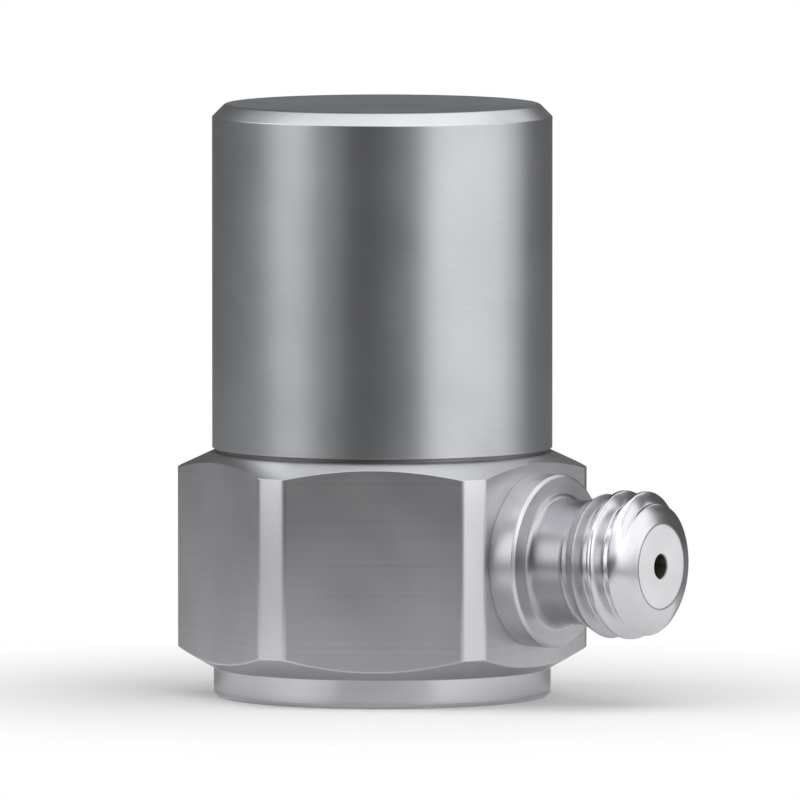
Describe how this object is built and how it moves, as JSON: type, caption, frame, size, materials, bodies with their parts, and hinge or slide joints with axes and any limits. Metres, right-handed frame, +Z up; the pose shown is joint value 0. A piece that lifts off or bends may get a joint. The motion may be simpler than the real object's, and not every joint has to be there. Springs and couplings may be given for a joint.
{
  "type": "vibration sensor",
  "caption": "Side-exit accelerometer: a round steel cover on a hexagonal base with a tapped foot and a threaded coaxial jack on its side.",
  "frame": {"origin": "centre of the mounting face at the foot, on the axis of the tapped hole", "axes": "+Z up the sensing axis from the mounting face to the flat top; +X out along the jack"},
  "size_m": [0.0168, 0.0134, 0.0193],
  "materials": {
    "turned_steel": "satin",
    "cover_steel": "satin",
    "jack_steel": "gloss",
    "ptfe": "satin",
    "contact_nickel": "satin",
    "sealing_glass": "gloss",
    "alumina": "matte",
    "post_steel": "satin",
    "ring_alloy": "satin",
    "screw_steel": "satin",
    "spacer_plastic": "matte",
    "board_laminate": "satin",
    "chip_epoxy": "matte",
    "capacitor_ceramic": "matte",
    "resistor_ceramic": "matte",
    "piezo_ceramic": "matte",
    "tungsten_alloy": "satin",
    "lead_red": "satin",
    "lead_black": "satin",
    "lead_white": "satin"
  },
  "bodies": {
    "root": {"amplifier_board": "board_laminate", "amplifier_chip": "chip_epoxy", "bias_resistor_1": "resistor_ceramic", "bias_resistor_2": "resistor_ceramic", "board_spacer": "spacer_plastic", "case_cover": "cover_steel", "centre_post": "post_steel", "charge_lead": "lead_white", "clamp_screw": "screw_steel", "connector_insulator": "ptfe", "connector_shell": "jack_steel", "contact_socket": "contact_nickel", "feedback_capacitor": "capacitor_ceramic", "glass_seal": "sealing_glass", "ground_lead": "lead_black", "housing_base": "turned_steel", "insulation_disc": "alumina", "output_lead": "lead_red", "piezo_plate_1": "piezo_ceramic", "piezo_plate_2": "piezo_ceramic", "piezo_plate_3": "piezo_ceramic", "preload_ring": "ring_alloy", "seismic_mass_1": "tungsten_alloy", "seismic_mass_2": "tungsten_alloy", "seismic_mass_3": "tungsten_alloy"}
  },
  "joints": []
}
